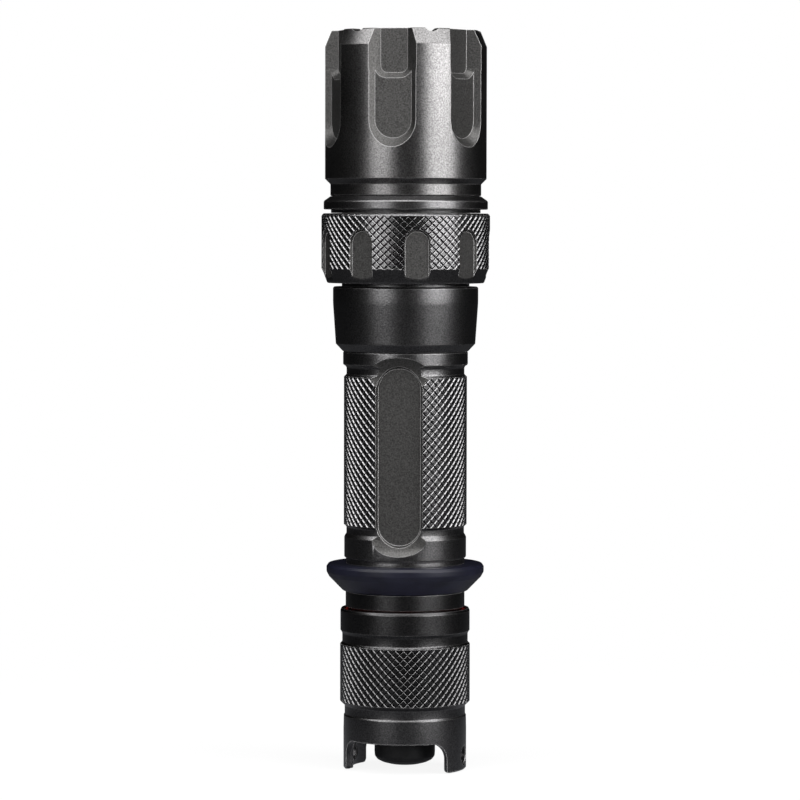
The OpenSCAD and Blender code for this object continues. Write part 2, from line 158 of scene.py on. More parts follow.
def lathe(name, points, segs=288, depth=0.19, cells=6, gain=3.0):
    """Turns a closed (r, z) profile. Points with a third value are rows of a diamond knurl."""
    n = len(points)
    theta = np.arange(segs) * 2 * math.pi / segs
    cos, sin = np.cos(theta), np.sin(theta)
    column = np.arange(segs)

    def wave(k):
        """Triangle wave over a knurl cell: 0 at its groove, 1 halfway."""
        return 1 - np.abs(2 * (k % cells) / cells - 1)

    verts, crest = np.zeros((n, segs, 3)), np.ones((n, segs))
    for i, p in enumerate(points):
        r = np.full(segs, float(p[0]))
        if len(p) > 2:
            crest[i] = np.minimum(1, gain * np.minimum(wave(column - p[2]), wave(column + p[2])))
            r -= depth * (1 - crest[i])
        verts[i, :, 0] = r * cos * MM
        verts[i, :, 1] = r * sin * MM
        verts[i, :, 2] = p[1] * MM
    faces, marks = [], []
    for i in range(n):
        j = (i + 1) % n
        band = len(points[i]) > 2 and len(points[j]) > 2
        for c in range(segs):
            d = (c + 1) % segs
            a, b, e, f = i * segs + c, i * segs + d, j * segs + d, j * segs + c
            if points[i][0] < 1e-6 and points[j][0] < 1e-6:
                continue
            if not band:
                faces.append((a, b, e, f))
                marks.append(0)
                continue
            row = min(points[i][2], points[j][2])
            rising = points[j][2] > points[i][2]
            main = (c - row) % cells == 0
            other = (c + row + 1) % cells == 0
            split = main if rising else not main
            if not main and not other:
                split = (c // (cells // 2) + row // (cells // 2)) % 2 == 0
                split = split if rising else not split
            faces += [(a, b, e), (a, e, f)] if split else [(a, b, f), (b, e, f)]
            marks += [1, 1]
    obj = add_mesh(name, verts.reshape(-1, 3), faces)
    if any(marks):
        obj.data.attributes.new("crest", "FLOAT", "POINT").data.foreach_set("value", crest.ravel())
        obj.data.materials.append(BODY)
        obj.data.materials.append(KNURL)
        obj.data.polygons.foreach_set("material_index", marks)
    return clean(obj)


def apply_modifiers(obj):
    """Replaces the object's mesh by its evaluated mesh."""
    dg = bpy.context.evaluated_depsgraph_get()
    mesh = bpy.data.meshes.new_from_object(obj.evaluated_get(dg))
    obj.modifiers.clear()
    old, obj.data = obj.data, mesh
    bpy.data.meshes.remove(old)
    return obj


def carve(obj, cutters, base=None, cut=None):
    """Exact boolean difference with each cutter, then the cutters are removed.
    The faces a cutter leaves behind take the material cut."""
    if base is not None and not obj.data.materials:
        obj.data.materials.append(base)
    for cutter in cutters:
        if cut is not None:
            cutter.data.materials.append(cut)
        mod = obj.modifiers.new("cut", "BOOLEAN")
        mod.operation = "DIFFERENCE"
        mod.solver = "EXACT"
        if cut is not None:
            mod.material_mode = "TRANSFER"
        mod.object = cutter
        bpy.context.view_layer.update()
        apply_modifiers(obj)
        mesh = cutter.data
        bpy.data.objects.remove(cutter)
        bpy.data.meshes.remove(mesh)
    return obj


def loft(rings, caps=None):
    """Verts and faces of a closed solid through equal-length rings of points.
    caps lists the faces that close a ring whose points aren't in one plane."""
    m = len(rings[0])
    verts = [p for ring in rings for p in ring]
    faces = []
    for i in range(len(rings) - 1):
        for k in range(m):
            q = (k + 1) % m
            faces.append((i * m + k, i * m + q, (i + 1) * m + q, (i + 1) * m + k))
    last = (len(rings) - 1) * m
    for face in caps or [tuple(range(m))]:
        faces.append(tuple(reversed(face)))
        faces.append(tuple(last + k for k in face))
    return verts, faces


def around(name, rings, angles, caps=None):
    """One mesh holding the lofted solid turned to each angle, degrees from +X."""
    base, faces = loft(rings, caps)
    base = np.array(base, float)
    verts, polys = [], []
    for a in angles:
        c, s = math.cos(math.radians(a)), math.sin(math.radians(a))
        start = len(verts)
        for x, y, z in base:
            verts.append(((x * c - y * s) * MM, (x * s + y * c) * MM, z * MM))
        polys += [tuple(start + k for k in f) for f in faces]
    return clean(add_mesh(name, verts, polys))


def arc(cy, cz, r, a0, a1, steps):
    """Points of an arc about (cy, cz), angles in degrees."""
    return [
        (cy + r * math.cos(math.radians(a0 + (a1 - a0) * k / steps)),
         cz + r * math.sin(math.radians(a0 + (a1 - a0) * k / steps)))
        for k in range(steps + 1)
    ]


def slot_path(w, z_low, z_high, corner, low_round=True, high_round=False, steps=24):
    """Outline (y, z) of a slot, counter-clockwise from the lower left."""
    path = []
    if low_round:
        path += arc(-w + corner, z_low, corner, 180, 270, steps)
        path += arc(w - corner, z_low, corner, 270, 360, steps)
    else:
        path += [(-w, z_low), (w, z_low)]
    if high_round:
        path += arc(w - corner, z_high, corner, 0, 90, steps)
        path += arc(-w + corner, z_high, corner, 90, 180, steps)
    else:
        path += [(w, z_high), (-w, z_high)]
    return path


def drafted(floor, w, z_low, z_high, corner, depth, low_round=True, high_round=False,
            steps=24, draft=1.0):
    """Rings of a pocket whose walls lean out by draft for each millimetre from the floor."""
    rings = []
    for x, grow in ((floor, 0.0), (floor + depth, depth * draft)):
        rings.append([
            (x, y, z) for y, z in slot_path(
                w + grow, z_low, z_high, corner + grow, low_round, high_round, steps)
        ])
    return rings


def dimples(name, r, x, z, count):
    """Ring of ball-shaped cutters, r in radius, centred x from the axis."""
    bm = bmesh.new()
    for k in range(count):
        turn = 2 * math.pi * k / count
        at = Matrix.Translation((x * math.cos(turn) * MM, x * math.sin(turn) * MM, z * MM))
        bmesh.ops.create_uvsphere(bm, u_segments=24, v_segments=12, radius=r * MM, matrix=at)
    bm.verts.index_update()
    verts = [tuple(v.co) for v in bm.verts]
    faces = [[v.index for v in face.verts] for face in bm.faces]
    bm.free()
    return add_mesh(name, verts, faces)


# ---------------------------------------------------------------- materials
def nodes_of(name):
    """New material with a principled shader wired to its output."""
    mat = bpy.data.materials.new(name)
    mat.use_nodes = True
    tree = mat.node_tree
    tree.nodes.clear()
    out = tree.nodes.new("ShaderNodeOutputMaterial")
    shader = tree.nodes.new("ShaderNodeBsdfPrincipled")
    tree.links.new(shader.outputs["BSDF"], out.inputs["Surface"])
    return mat, tree, shader


def position(tree):
    """Object coordinates, in metres."""
    return tree.nodes.new("ShaderNodeTexCoord").outputs["Object"]


def noise(tree, scale, detail=3.0, rough=0.55, vector=None):
    """Noise value, with scale in cells per metre."""
    n = tree.nodes.new("ShaderNodeTexNoise")
    n.inputs["Scale"].default_value = scale
    n.inputs["Detail"].default_value = detail
    n.inputs["Roughness"].default_value = rough
    tree.links.new(vector or position(tree), n.inputs["Vector"])
    return n.outputs["Fac"]


def ramp(tree, value, stops):
    """Colour ramp through (position, colour) stops; a float stands for a grey."""
    r = tree.nodes.new("ShaderNodeValToRGB")
    while len(r.color_ramp.elements) < len(stops):
        r.color_ramp.elements.new(0.5)
    for e, (at, col) in zip(r.color_ramp.elements, stops):
        e.position = at
        e.color = (col[0], col[1], col[2], 1) if not isinstance(col, float) else (col, col, col, 1)
    tree.links.new(value, r.inputs["Fac"])
    return r.outputs["Color"]


def math_node(tree, op, a, b=None, clamp=False):
    """Result of a maths operation on numbers or sockets."""
    m = tree.nodes.new("ShaderNodeMath")
    m.operation = op
    m.use_clamp = clamp
    for k, v in enumerate((a, b)):
        if v is None:
            continue
        if isinstance(v, (int, float)):
            m.inputs[k].default_value = v
        else:
            tree.links.new(v, m.inputs[k])
    return m.outputs["Value"]


def mix(tree, fac, a, b):
    """Colour that goes from a to b with fac; each is a number, a colour or a socket."""
    m = tree.nodes.new("ShaderNodeMix")
    m.data_type = "RGBA"
    for socket, v in ((m.inputs[0], fac), (m.inputs[6], a), (m.inputs[7], b)):
        if isinstance(v, tuple):
            socket.default_value = (v[0], v[1], v[2], 1)
        elif isinstance(v, (int, float)):
            socket.default_value = v
        else:
            tree.links.new(v, socket)
    return m.outputs[2]


def bump(tree, height, strength, distance, normal=None):
    """Normal bumped by a height, on top of another normal if one is given."""
    b = tree.nodes.new("ShaderNodeBump")
    b.inputs["Strength"].default_value = strength
    b.inputs["Distance"].default_value = distance
    tree.links.new(height, b.inputs["Height"])
    if normal is not None:
        tree.links.new(normal, b.inputs["Normal"])
    return b.outputs["Normal"]


def rounded(tree, size):
    """Normal with the edges rounded over a radius in metres."""
    b = tree.nodes.new("ShaderNodeBevel")
    b.samples = 4
    b.inputs["Radius"].default_value = size
    return b.outputs["Normal"]


def edge_mask(tree, soft, gain):
    """Bright where the rounded normal leaves the true one: the edges that anodised() lightens as a painted
    highlight.
    """
    geo = tree.nodes.new("ShaderNodeNewGeometry")
    dot = tree.nodes.new("ShaderNodeVectorMath")
    dot.operation = "DOT_PRODUCT"
    tree.links.new(soft, dot.inputs[0])
    tree.links.new(geo.outputs["Normal"], dot.inputs[1])
    return math_node(tree, "MULTIPLY", math_node(tree, "SUBTRACT", 1.0, dot.outputs["Value"]), gain, True)


TONE_SPAN = 0.05  # metres of height that the coat's tones are spread over


def anodised(name, base=(0.12, 0.118, 0.12), rough=0.3, edge=0.75, size=0.0002,
             tones=((0.28, 0.85), (0.29, 0.55), (0.765, 0.5), (0.775, 1.0)), metallic=1.0,
             groove=None):
    """Bead-blasted hard anodised aluminium: fine grain, cloudy sheen, painted highlights on the edges.
    tones darkens the coat by height, as shares of TONE_SPAN from the bottom.
    groove paints shade into a knurl's grooves and a highlight on its upper walls by its crest attribute, 0 in
    a groove and 1 on a flat."""
    mat, tree, shader = nodes_of(name)
    soft = rounded(tree, size)
    grit = noise(tree, 3500, 2.0, 0.6)
    cloud = noise(tree, 90, 2.0, 0.5)
    tint = ramp(tree, grit, [
        (0.3, tuple(c * 0.56 for c in base)), (0.7, tuple(c * 1.44 for c in base))])
    split = tree.nodes.new("ShaderNodeSeparateXYZ")
    tree.links.new(position(tree), split.inputs[0])
    share = math_node(tree, "MULTIPLY", split.outputs["Z"], 1 / TONE_SPAN)
    tone = ramp(tree, share, tones)
    mul = tree.nodes.new("ShaderNodeMix")
    mul.data_type = "RGBA"
    mul.blend_type = "MULTIPLY"
    mul.inputs[0].default_value = 1.0
    tree.links.new(tint, mul.inputs[6])
    if groove is None:
        tree.links.new(tone, mul.inputs[7])
    else:
        # Painted shade in the knurl's grooves and a painted highlight on its upper walls, read from the crest
        # attribute.
        crest = tree.nodes.new("ShaderNodeAttribute")
        crest.attribute_name = "crest"
        groove_shade_and_highlight = ramp(tree, crest.outputs["Fac"], groove)
        both = tree.nodes.new("ShaderNodeVectorMath")
        both.operation = "MULTIPLY"
        tree.links.new(tone, both.inputs[0])
        tree.links.new(groove_shade_and_highlight, both.inputs[1])
        tree.links.new(both.outputs["Vector"], mul.inputs[7])
    # Painted highlight: along the edges the colour is lightened towards a bare grey and the metallic share is
    # cut, so the edges catch light from every side.
    edge_highlight = edge_mask(tree, soft, 7.0)
    shown = mix(tree, math_node(tree, "MULTIPLY", edge_highlight, edge), mul.outputs[2], (0.6, 0.59, 0.59))
    tree.links.new(shown, shader.inputs["Base Color"])
    level = ramp(tree, cloud, [(0.3, rough - 0.015), (0.7, rough + 0.025)])
    tree.links.new(level, shader.inputs["Roughness"])
    shine = math_node(tree, "SUBTRACT", metallic, math_node(tree, "MULTIPLY", edge_highlight, edge * 0.8))
    tree.links.new(shine, shader.inputs["Metallic"])
    tree.links.new(bump(tree, grit, 0.36, 0.00006, soft), shader.inputs["Normal"])
    return mat


def rubber(name, colour, rough, grain):
    """Moulded rubber: low sheen with a fine even grain."""
    mat, tree, shader = nodes_of(name)
    shader.inputs["Specular IOR Level"].default_value = 0.26
    fine = noise(tree, 3800, 3.0, 0.6)
    broad = noise(tree, 220, 2.0, 0.5)
    tint = ramp(tree, broad, [
        (0.3, tuple(c * 0.8 for c in colour)), (0.7, tuple(c * 1.25 for c in colour))])
    tree.links.new(tint, shader.inputs["Base Color"])
    tree.links.new(ramp(tree, fine, [(0.3, rough - 0.06), (0.7, rough + 0.06)]), shader.inputs["Roughness"])
    tree.links.new(bump(tree, fine, grain, 0.00004), shader.inputs["Normal"])
    return mat


def metal(name, colour, rough=0.25, lines=0.15, scale=2600):
    """Turned or plated metal with fine lathe rings around the axis."""
    mat, tree, shader = nodes_of(name)
    split = tree.nodes.new("ShaderNodeSeparateXYZ")
    tree.links.new(position(tree), split.inputs[0])
    r = math_node(tree, "SQRT", math_node(tree, "ADD",
        math_node(tree, "MULTIPLY", split.outputs["X"], split.outputs["X"]),
        math_node(tree, "MULTIPLY", split.outputs["Y"], split.outputs["Y"])))
    join = tree.nodes.new("ShaderNodeCombineXYZ")
    tree.links.new(r, join.inputs["X"])
    tree.links.new(split.outputs["Z"], join.inputs["Y"])
    rings = noise(tree, scale, 2.0, 0.5, join.outputs["Vector"])
    blot = noise(tree, 300, 3.0, 0.5)
    tree.links.new(ramp(tree, blot, [(0.3, tuple(c * 0.86 for c in colour)), (0.7, colour)]),
                   shader.inputs["Base Color"])
    tree.links.new(ramp(tree, rings, [(0.3, max(0.04, rough - 0.06)), (0.7, rough + 0.08)]),
                   shader.inputs["Roughness"])
    shader.inputs["Metallic"].default_value = 1.0
    tree.links.new(bump(tree, rings, lines, 0.00004, rounded(tree, 0.0001)), shader.inputs["Normal"])
    return mat


def plastic(name, colour, rough=0.4, grain=0.15):
    """Moulded plastic: faint mottling, uneven gloss and a fine grain."""
    mat, tree, shader = nodes_of(name)
    fine = noise(tree, 2400, 3.0, 0.6)
    broad = noise(tree, 260, 2.0, 0.5)
    tree.links.new(ramp(tree, broad, [(0.3, tuple(c * 0.88 for c in colour)), (0.7, colour)]),
                   shader.inputs["Base Color"])
    tree.links.new(ramp(tree, fine, [(0.3, rough - 0.05), (0.7, rough + 0.05)]), shader.inputs["Roughness"])
    tree.links.new(bump(tree, fine, grain, 0.00004, rounded(tree, 0.00012)), shader.inputs["Normal"])
    return mat


def circuit(name):
    """Solder mask over traces, with small bare pads."""
    mat, tree, shader = nodes_of(name)
    pos = position(tree)
    cells = tree.nodes.new("ShaderNodeTexVoronoi")
    cells.distance = "CHEBYCHEV"
    cells.inputs["Scale"].default_value = 650
    tree.links.new(pos, cells.inputs["Vector"])
    bricks = tree.nodes.new("ShaderNodeTexBrick")
    bricks.inputs["Scale"].default_value = 420
    bricks.inputs["Mortar Size"].default_value = 0.012
    tree.links.new(pos, bricks.inputs["Vector"])
    traces = mix(tree, bricks.outputs["Fac"], (0.012, 0.11, 0.045), (0.02, 0.2, 0.08))
    pads = ramp(tree, cells.outputs["Distance"], [(0.0, 1.0), (0.17, 1.0), (0.18, 0.0)])
    tree.links.new(mix(tree, pads, traces, (0.72, 0.6, 0.32)), shader.inputs["Base Color"])
    tree.links.new(pads, shader.inputs["Metallic"])
    shader.inputs["Roughness"].default_value = 0.32
    tree.links.new(bump(tree, noise(tree, 900, 2.0), 0.1, 0.00004), shader.inputs["Normal"])
    return mat


def glass(name):
    """Anti-reflection coated lens glass with a faint dust haze."""
    mat, tree, shader = nodes_of(name)
    haze = noise(tree, 700, 4.0, 0.6)
    tree.links.new(ramp(tree, haze, [(0.35, 0.0), (0.8, 0.045)]), shader.inputs["Roughness"])
    tint = ramp(tree, haze, [(0.3, (0.97, 0.985, 0.99)), (0.7, (0.99, 0.995, 1.0))])
    tree.links.new(tint, shader.inputs["Base Color"])
    shader.inputs["Transmission Weight"].default_value = 1.0
    shader.inputs["IOR"].default_value = 1.5
    shader.inputs["Coat Weight"].default_value = 0.35
    shader.inputs["Coat Tint"].default_value = (0.7, 0.75, 1.0, 1)
    return mat


def mirror(name):
    """Vacuum-metallised reflector with a light orange-peel texture."""
    mat, tree, shader = nodes_of(name)
    peel = tree.nodes.new("ShaderNodeTexVoronoi")
    peel.feature = "SMOOTH_F1"
    peel.inputs["Scale"].default_value = 1300
    tree.links.new(position(tree), peel.inputs["Vector"])
    spots = noise(tree, 500, 2.0)
    tint = ramp(tree, spots, [(0.3, (0.88, 0.89, 0.9)), (0.7, (0.94, 0.95, 0.96))])
    tree.links.new(tint, shader.inputs["Base Color"])
    shader.inputs["Metallic"].default_value = 1.0
    tree.links.new(ramp(tree, spots, [(0.3, 0.03), (0.7, 0.07)]), shader.inputs["Roughness"])
    tree.links.new(bump(tree, peel.outputs["Distance"], 0.06, 0.0001), shader.inputs["Normal"])
    return mat


def phosphor(name):
    """Yellow phosphor under a clear silicone dome."""
    mat, tree, shader = nodes_of(name)
    speck = noise(tree, 3200, 3.0)
    tint = ramp(tree, speck, [(0.35, (0.85, 0.6, 0.06)), (0.65, (0.98, 0.8, 0.16))])
    tree.links.new(tint, shader.inputs["Base Color"])
    tree.links.new(ramp(tree, speck, [(0.3, 0.2), (0.7, 0.32)]), shader.inputs["Roughness"])
    shader.inputs["Coat Weight"].default_value = 1.0
    shader.inputs["Coat Roughness"].default_value = 0.05
    return mat


def shrink_wrap(name):
    """Glossy printed film of the cell, with faint seams and creases."""
    mat, tree, shader = nodes_of(name)
    crease = noise(tree, 420, 5.0, 0.65)
    tint = ramp(tree, crease, [(0.3, (0.02, 0.07, 0.24)), (0.7, (0.03, 0.10, 0.32))])
    tree.links.new(tint, shader.inputs["Base Color"])
    tree.links.new(ramp(tree, crease, [(0.3, 0.18), (0.7, 0.3)]), shader.inputs["Roughness"])
    tree.links.new(bump(tree, crease, 0.15, 0.0002), shader.inputs["Normal"])
    return mat


BODY = anodised("anodised_body")
BEZEL = anodised("anodised_bezel", base=(0.135, 0.132, 0.132))
# The knurl's groove ramp paints shade into the grooves and a highlight on the upper walls.
KNURL = anodised("anodised_knurl", base=(0.15, 0.148, 0.15), rough=0.2, edge=0.0, size=0.00003,
                 tones=((0.59, 0.6), (0.61, 1.0)),
                 groove=((0.0, 0.08), (0.3, 1.0), (0.85, 1.7), (0.97, 1.4), (1.0, 0.9)))
MILLED = anodised("anodised_milled", base=(0.07, 0.0685, 0.067), rough=0.44, edge=0.7, metallic=0.88)
NAVY = rubber("navy_rubber", (0.0055, 0.0058, 0.0125), 0.4, 0.12)
BLACK = rubber("black_rubber", (0.0045, 0.0045, 0.005), 0.5, 0.3)
RED = rubber("red_rubber", (0.16, 0.009, 0.007), 0.4, 0.1)
ALU = metal("bare_aluminium", (0.78, 0.79, 0.8), 0.28, 0.25)
STEEL = metal("spring_steel", (0.5, 0.5, 0.52), 0.22, 0.1)
NICKEL = metal("nickel_steel", (0.68, 0.67, 0.65), 0.16, 0.08)
GOLD = metal("gold_spring", (0.86, 0.62, 0.26), 0.2, 0.05)
BRASS = metal("brass_part", (0.75, 0.55, 0.24), 0.26, 0.25)
COPPER = metal("copper_board", (0.78, 0.4, 0.26), 0.3, 0.12)
WHITE = plastic("white_plastic", (0.8, 0.8, 0.78), 0.45)
DARK = plastic("dark_plastic", (0.025, 0.025, 0.028), 0.38)
REDP = plastic("red_plastic", (0.45, 0.035, 0.03), 0.35)
LEAD = plastic("lead_wire", (0.42, 0.02, 0.02), 0.3)
BOARD = circuit("green_board")
LENS = glass("lens_glass")
MIRROR = mirror("reflector_mirror")
PHOSPHOR = phosphor("led_phosphor")
WRAP = shrink_wrap("cell_wrap")


def attach(obj, body, slot, *nodes):
    """Rides the body in place of the CAD nodes. The slot argument is not used."""
    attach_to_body(obj, body)
    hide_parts(*nodes)
    return obj


def finish_piece(obj, body, material, slot, *nodes, angle=28):
    """Shades a new piece, with every knurl facet flat, and attaches it."""
    smooth(obj, angle)
    if not obj.data.materials:
        obj.data.materials.append(material)
    crisp = [m is KNURL for m in obj.data.materials]
    for face in obj.data.polygons:
        if crisp[face.material_index]:
            face.use_smooth = False
    flat = obj.modifiers.new("even", "WEIGHTED_NORMAL")
    flat.keep_sharp = True
    return attach(obj, body, slot, *nodes)


def threads(crest, root, z0, count, pitch=1.0):
    """Profile points of a thread shown as ring grooves, with flats at crest and root."""
    pts = []
    for i in range(count):
        z = z0 + i * pitch
        pts += [(crest, z, 0), (crest, z + 0.12 * pitch, 0), (root, z + 0.44 * pitch, 0),
                (root, z + 0.56 * pitch, 0), (crest, z + 0.88 * pitch, 0)]
    return pts


def nearest_plain(points, target):
    """Index of the point without a knurl row number that lies nearest the target."""
    def gap(k):
        p = points[k]
        return abs(p[0] - target[0]) + abs(p[1] - target[1]) if len(p) == 2 else 1e9
    return min(range(len(points)), key=gap)


def profile(*parts, default=0.1, steps=3):
    """Joins plain points and knurl rows; only the plain points are rounded."""
    plain, bands = [], []
    for part in parts:
        if isinstance(part, dict):
            bands.append(part["rows"])
            plain.append((part["rows"][0][0], part["rows"][0][1], 0))
            plain.append((part["rows"][-1][0], part["rows"][-1][1], 0))
        else:
            plain += part
    rounded_pts = fillet(plain, default, steps)
    for rows in bands:
        i, j = (nearest_plain(rounded_pts, row) for row in (rows[0], rows[-1]))
        assert j == i + 1
        rounded_pts = rounded_pts[:i] + rows + rounded_pts[j + 1:]
    return rounded_pts


# ---------------------------------------------------------------- strike bezel
SLOTS = [-90 - 3.5 + 60 * k for k in range(6)]
R_BEZEL = radius("strike_bezel")
bezel = lathe("strike_bezel_shell", profile([
    (12.1, Z_TOP - 10.7, 0.15), (SLIDE, Z_TOP - 10.7, 0), (SLIDE, 126.4, 0.05)],
    list(reversed(threads(SLIDE, 13.7, 121.2, 5))),
    [(SLIDE, Z_BEZEL, 0.05), (15.4, Z_BEZEL, 0.03), (15.58, Z_BEZEL + 0.2, 0.1),
     (15.58, 121.1, 0.15), (R_BEZEL, 122.22, 0.15), (R_BEZEL, 149.38, 0.35), (15.42, Z_TOP - 0.16, 0.15),
     (15.25, Z_TOP, 0.12),
     (13.05, Z_TOP, 0.1), (12.85, Z_TOP - 0.2, 0.1), (12.15, Z_TOP - 9.1, 0.3)]), 360)
carve(bezel, [
    around("c1", drafted(14.9, 3.75, 134.1, Z_TOP + 3, 3.75, 3.0, steps=20), SLOTS),
    around("c2", drafted(13.76, 2.78, 145.05, Z_TOP + 3, 1.4, 4.2, steps=10), SLOTS),
    around("c3", [[(x, y, z) for y, z in arc(0, Z_TOP + 1.152, 1.852, 0, 360 - 360 / 40, 39)]
                  for x in (8.0, 20.0)], [a + 30 for a in SLOTS]),
], BEZEL, MILLED)
finish_piece(bezel, "light_body", BEZEL, "anodised_bezel", "strike_bezel")

# ---------------------------------------------------------------- selector ring
R_RING = radius("selector_ring")
knob = lathe("selector_ring_grip", profile(
    [(SLIDE, Z_RING_LO + 1.05, 0.03), (14.4, Z_RING_LO + 1.05, 0), (14.4, Z_RING_LO, 0.05),
     (16.1, Z_RING_LO, 0.1), (16.3, Z_RING_LO + 0.25, 0.15), (16.98, Z_RING_LO + 2.1, 0.2),
     (R_RING - 0.05, Z_RING_LO + 2.95, 0.1)],
    {"rows": knurl_rows(R_RING, Z_RING_LO + 3.05, Z_RING_HI - 0.55, 7)},
    [(R_RING - 0.12, Z_RING_HI - 0.3, 0.1), (R_RING - 0.45, Z_RING_HI, 0.15), (15.32, Z_RING_HI, 0.05),
     (15.32, Z_RING_HI - 0.52, 0), (SLIDE, Z_RING_HI - 0.52, 0.05), (SLIDE, 108.3, 0.05),
     (13.5, 108.1, 0.05), (13.5, 106.5, 0.05), (SLIDE, 106.3, 0.05)]), 66 * 6)
SCALLOPS = [-90 + 14.5 + 40 * k for k in range(9)]


carve(knob, [
    around("c4", drafted(16.6, 2.4, Z_RING_LO - 4, 109.0, 2.4, 2.2, False, True, 20, draft=0.5),
           SCALLOPS),
    around("c5", [[(x, y, z) for y, z in arc(0, 110.9, 2.04, 0, 351, 39)] for x in (12.0, 15.95)], [-45]),
    dimples("c5a", 0.86, 12.92, 107.3, 12),
], BODY, MILLED)
finish_piece(knob, "selector", KNURL, "anodised_body", "selector_ring")

# ---------------------------------------------------------------- collar and housing
collar = lathe("retaining_collar_ring", profile(
    list(reversed(threads(13.27, 13.65, 115.5, 2))),
    [(13.27, Z_COLLAR, 0.05), (15.46, Z_COLLAR, 0.05), (15.46, Z_COLLAR + 0.7, 0.05),
     (16.82, Z_COLLAR + 0.7, 0.12), (16.97, Z_COLLAR + 0.85, 0.12), (16.97, Z_COLLAR + 2.3, 0.15),
     (16.8, Z_COLLAR + 2.55, 0.12), (15.6, Z_BEZEL - 0.05, 0.1), (13.27, Z_BEZEL - 0.05, 0.05)]), 288)
finish_piece(collar, "light_body", BODY, "anodised_body", "retaining_collar")

housing = lathe("head_housing_shell", profile(
    [(12.0, Z_HEAD, 0.1), (12.98, Z_HEAD, 0.12), (14.44, 88.2, 0.35), (15.0, 96.3, 1.2),
     (15.03, 97.2, 0), (15.03, 99.72, 0.15), (14.78, 100.0, 0.1), (BARREL, 100.0, 0.15),
     (BARREL, 100.82, 0.03), (12.4, 100.82, 0.03), (12.4, 101.7, 0.03), (BARREL, 101.7, 0.03),
     (BARREL, 102.9, 0.03), (12.34, 102.9, 0.05), (12.34, 103.9, 0.05), (BARREL, 103.9, 0.03),
     (BARREL, 112.8, 0.03), (12.34, 112.8, 0.05), (12.34, 113.8, 0.05), (BARREL, 113.8, 0.03)],
    threads(BARREL, 12.8, 115.5, 3),
    [(BARREL, 119.25, 0.03), (12.34, 119.25, 0.05), (12.34, 120.25, 0.05), (BARREL, 120.25, 0.03)],
    threads(BARREL, 12.8, 121.2, 4),
    [(BARREL, Z_BARREL - 0.3, 0.05), (12.95, Z_BARREL, 0.05), (11.7, Z_BARREL, 0.05),
     (11.5, Z_BARREL - 0.2, 0.05), (11.5, 94.7, 0.05)],
    list(reversed(threads(11.57, 11.98, 89.0, 5))),
    [(11.57, 88.7, 0.05), (12.0, 88.45, 0.05)]), 288)
carve(housing, [
    around("c6", [[(x, y, z) for y, z in arc(0, 107.3, 0.88, 0, 345, 23)] for x in (10.0, 14.0)], [90]),
])
finish_piece(housing, "light_body", BODY, "anodised_body", "head_housing")

# ---------------------------------------------------------------- battery tube
tube = lathe("battery_tube_body", profile(
    [(9.8, Z_TUBE_LO, 0.05), (10.9, Z_TUBE_LO, 0.05), (11.1, Z_TUBE_LO + 0.2, 0.03), (11.1, 23.3, 0.05)],
    threads(11.55, 11.1, 23.6, 7),
    [(11.55, 31.2, 0.05), (11.9, 31.5, 0.05), (11.9, 32.3, 0.03), (11.5, 32.35, 0.03), (11.5, 33.65, 0.03),
     (12.2, 33.65, 0.05), (12.34, 33.8, 0.05), (12.34, 36.9, 0.08), (11.4, 36.92, 0.05), (11.4, 42.72, 0.05),
     (12.38, 42.74, 0.03), (12.3, 43.35, 0.3), (12.3, 43.92, 0.1), (12.52, 43.96, 0.05), (12.64, 44.1, 0.1),
     (12.64, 48.15, 0.15), (12.45, 48.55, 0.1), (12.19, 48.95, 0.25), (12.19, 50.25, 0.2),
     (12.5, 50.62, 0.05)],
    {"rows": knurl_rows(12.74, 50.8, 81.4, 18)},
    [(12.5, 81.6, 0.05), (12.2, 81.95, 0.2), (12.2, 83.25, 0.2), (12.42, 83.62, 0.1), (12.78, 83.82, 0.1),
     (12.92, 84.02, 0.12), (12.92, 86.4, 0.12), (12.78, 86.58, 0.08), (11.9, 86.6, 0.05), (11.9, 87.05, 0.03),
     (11.0, 87.08, 0), (11.0, 88.12, 0), (11.9, 88.15, 0), (11.9, 88.35, 0), (11.5, 88.65, 0)],
    threads(11.5, 11.05, 89.0, 4),
    [(11.05, 93.3, 0.05), (11.05, Z_TUBE_HI - 0.2, 0.05), (10.85, Z_TUBE_HI, 0.05), (9.8, Z_TUBE_HI, 0.05),
     (9.6, Z_TUBE_HI - 0.2, 0.05), (9.6, Z_TUBE_LO + 0.2, 0.05)]), 48 * 6)


def wheel_cut(z, r=6.0, x=17.33, half=8.0, steps=120):
    """Cylinder lying across the panel, as a wheel cutter leaves at each end of it."""
    turns = [2 * math.pi * k / steps for k in range(steps)]
    ring = [(x + r * math.cos(a), z + r * math.sin(a)) for a in turns]
    return [[(px, y, pz) for px, pz in ring] for y in (-half, half)]


carve(tube, [
    around("c7", drafted(10.77, 4.37, 51.43, 79.0, 4.37, 2.6, True, True, 28, draft=0.45), [-90]),
    around("c7a", wheel_cut(48.63), [-90]),
    around("c7b", wheel_cut(81.6), [-90]),
], BODY, MILLED)
finish_piece(tube, "light_body", KNURL, "anodised_body", "battery_tube")

# ---------------------------------------------------------------- grip ring
g = radius("combat_ring")
grip = lathe("combat_ring_rubber", profile(
    [(11.43, Z_GRIP_RING, 0.05), (12.55, Z_GRIP_RING, 0.15), (13.0, Z_GRIP_RING + 0.16, 0.3),
     (g - 0.55, 39.95, 0.6), (g, 40.95, 0.9), (g, 42.05, 0.35), (g - 0.42, 42.67, 0.3),
     (11.43, 42.67, 0.03)], steps=7), 288)
finish_piece(grip, "light_body", NAVY, "navy_rubber", "combat_ring", angle=60)

